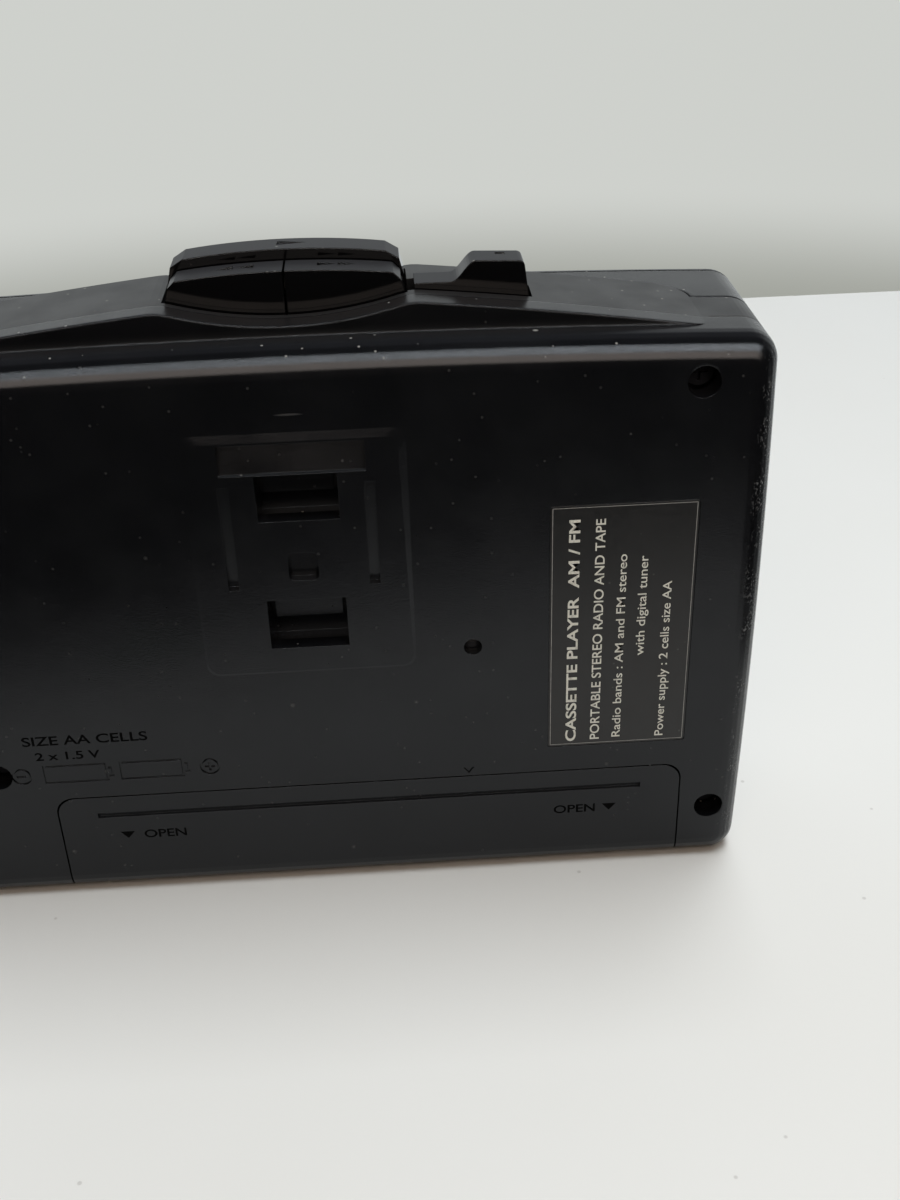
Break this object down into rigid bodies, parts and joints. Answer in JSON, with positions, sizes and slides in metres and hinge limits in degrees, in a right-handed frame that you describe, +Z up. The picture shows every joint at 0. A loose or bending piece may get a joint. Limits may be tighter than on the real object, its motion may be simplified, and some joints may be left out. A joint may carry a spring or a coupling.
{
  "type": "cassette player",
  "caption": "Pocket radio cassette player with a raised key pod on its top edge, a hinged cassette door, a sliding battery door and a belt-clip seat.",
  "frame": {"origin": "centre of the bounding box's bottom face; the player stands on its long bottom edge", "axes": "+X towards the tuner end, +Y towards the rear face with the battery door, +Z up towards the keys"},
  "size_m": [0.139, 0.0329, 0.1039],
  "materials": {
    "shell": "satin, finely textured",
    "frame": "satin",
    "key": "gloss front, satin top",
    "inner": "matte",
    "label": "printed film",
    "window": "tinted clear",
    "display": "liquid crystal panel",
    "small_key": "satin",
    "steel": "bright",
    "spring": "bright",
    "screw": "black",
    "brass": "turned",
    "copper": "enamelled wire",
    "rubber": "matte",
    "gear": "moulded",
    "board": "solder resist",
    "part": "sleeved",
    "ferrite": "matte",
    "can": "tinned"
  },
  "bodies": {
    "case": {"rear_shell": "shell", "mid_frame": "frame", "spec_label": "label", "case_screws": "screw", "key_frame": "inner", "play_spring": "spring", "rewind_spring": "spring", "forward_spring": "spring", "stop_spring": "spring", "door_hinge_pins": "steel", "control_housing": "shell", "control_panel": "shell", "display_window": "window", "display_module": "display", "tuner_board": "board", "deck_cover": "inner", "chassis": "steel", "capstan_bush": "brass", "flywheel_bracket": "steel", "motor": "steel", "drive_belt": "rubber", "chassis_pins": "steel", "chassis_screws": "screw", "main_board": "board", "tuner_can": "can", "board_parts": "part", "ferrite_rod": "ferrite", "antenna_coil": "copper", "battery_tray": "inner", "negative_spring": "spring", "positive_plate": "spring", "volume_pot": "inner", "headphone_jack": "inner", "function_switch": "inner"},
    "door": {"door_body": "shell", "door_plate": "shell", "door_window": "window", "cassette_guides": "inner", "cassette_springs": "spring"},
    "battery_cover": {"battery_door": "shell"},
    "play": {"play_key": "key"},
    "rewind": {"rewind_key": "key"},
    "forward": {"forward_key": "key"},
    "stop": {"stop_key": "key"},
    "head": {"head_plate": "steel", "playback_head": "can"},
    "roller_arm": {"pinch_arm": "steel"},
    "roller": {"pinch_roller": "rubber"},
    "capstan": {"capstan_shaft": "steel", "flywheel": "steel"},
    "rotor": {"motor_pulley": "brass"},
    "idler": {"idler_gear": "gear"},
    "takeup": {"takeup_spindle": "gear"},
    "supply": {"supply_spindle": "gear"},
    "volume": {"volume_wheel": "small_key"},
    "selector": {"switch_knob": "small_key"},
    "key_power": {"power_key": "small_key"},
    "key_band": {"band_key": "small_key"},
    "key_down": {"tune_down_key": "small_key"},
    "key_up": {"tune_up_key": "small_key"}
  },
  "joints": [
    {"name": "door_hinge", "type": "hinge", "parent": "case", "child": "door", "pos_m": [0, -0.00455, 0.003], "axis": [1, 0, 0], "range_deg": [0, 65]},
    {"name": "battery_slide", "type": "slide", "parent": "case", "child": "battery_cover", "axis": [0, 0, -1], "range_m": [0, 0.02]},
    {"name": "play_press", "type": "slide", "parent": "case", "child": "play", "axis": [0, 0, -1], "range_m": [0, 0.0035], "stiffness_N_per_m": 300, "springref_m": -0.002, "deforming": ["play_spring"]},
    {"name": "rewind_press", "type": "slide", "parent": "case", "child": "rewind", "axis": [0, 0, -1], "range_m": [0, 0.0035], "stiffness_N_per_m": 300, "springref_m": -0.002, "deforming": ["rewind_spring"]},
    {"name": "forward_press", "type": "slide", "parent": "case", "child": "forward", "axis": [0, 0, -1], "range_m": [0, 0.0035], "stiffness_N_per_m": 300, "springref_m": -0.002, "deforming": ["forward_spring"]},
    {"name": "stop_press", "type": "slide", "parent": "case", "child": "stop", "axis": [0, 0, -1], "range_m": [0, 0.003], "stiffness_N_per_m": 300, "springref_m": -0.002, "deforming": ["stop_spring"]},
    {"name": "head_slide", "type": "slide", "parent": "case", "child": "head", "axis": [0, 0, -1], "range_m": [0, 0.005]},
    {"name": "pinch_swing", "type": "hinge", "parent": "case", "child": "roller_arm", "pos_m": [-0.052, 0.0023, 0.076], "axis": [0, 1, 0], "range_deg": [0, 23.8]},
    {"name": "pinch_spin", "type": "hinge", "parent": "roller_arm", "child": "roller", "pos_m": [-0.03388, 0.0023, 0.07679], "axis": [0, 1, 0], "continuous": true},
    {"name": "capstan_spin", "type": "hinge", "parent": "case", "child": "capstan", "pos_m": [-0.0351, 0.0023, 0.0628], "axis": [0, -1, 0], "continuous": true},
    {"name": "motor_spin", "type": "hinge", "parent": "case", "child": "rotor", "pos_m": [0.0581, 0.0023, 0.058], "axis": [0, -1, 0], "continuous": true},
    {"name": "idler_spin", "type": "hinge", "parent": "case", "child": "idler", "pos_m": [-0.04168, 0.0023, 0.05277], "axis": [0, -1, 0], "continuous": true},
    {"name": "takeup_spin", "type": "hinge", "parent": "case", "child": "takeup", "pos_m": [-0.03275, 0.0023, 0.036], "axis": [0, -1, 0], "continuous": true},
    {"name": "supply_spin", "type": "hinge", "parent": "case", "child": "supply", "pos_m": [0.00975, 0.0023, 0.036], "axis": [0, -1, 0], "continuous": true},
    {"name": "volume_turn", "type": "hinge", "parent": "case", "child": "volume", "pos_m": [0.0611, 0.0053, 0.036], "axis": [0, 1, 0], "range_deg": [0, 270]},
    {"name": "switch_slide", "type": "slide", "parent": "case", "child": "selector", "axis": [0, 0, 1], "range_m": [0, 0.0038]},
    {"name": "power_press", "type": "slide", "parent": "case", "child": "key_power", "axis": [0, 1, 0], "range_m": [0, 0.0008], "stiffness_N_per_m": 400, "springref_m": -0.001},
    {"name": "band_press", "type": "slide", "parent": "case", "child": "key_band", "axis": [0, 1, 0], "range_m": [0, 0.0008], "stiffness_N_per_m": 400, "springref_m": -0.001},
    {"name": "tune_down_press", "type": "slide", "parent": "case", "child": "key_down", "axis": [0, 1, 0], "range_m": [0, 0.0008], "stiffness_N_per_m": 400, "springref_m": -0.001},
    {"name": "tune_up_press", "type": "slide", "parent": "case", "child": "key_up", "axis": [0, 1, 0], "range_m": [0, 0.0008], "stiffness_N_per_m": 400, "springref_m": -0.001}
  ],
  "couplings": [
    {"joint": "head_slide", "follows": "play_press", "ratio": 1.4286},
    {"joint": "pinch_swing", "follows": "play_press", "rad_per_m": 118.6},
    {"joint": "motor_spin", "follows": "capstan_spin", "ratio": 5.3636},
    {"joint": "idler_spin", "follows": "capstan_spin", "ratio": -0.5},
    {"joint": "takeup_spin", "follows": "capstan_spin", "ratio": 0.36364}
  ]
}
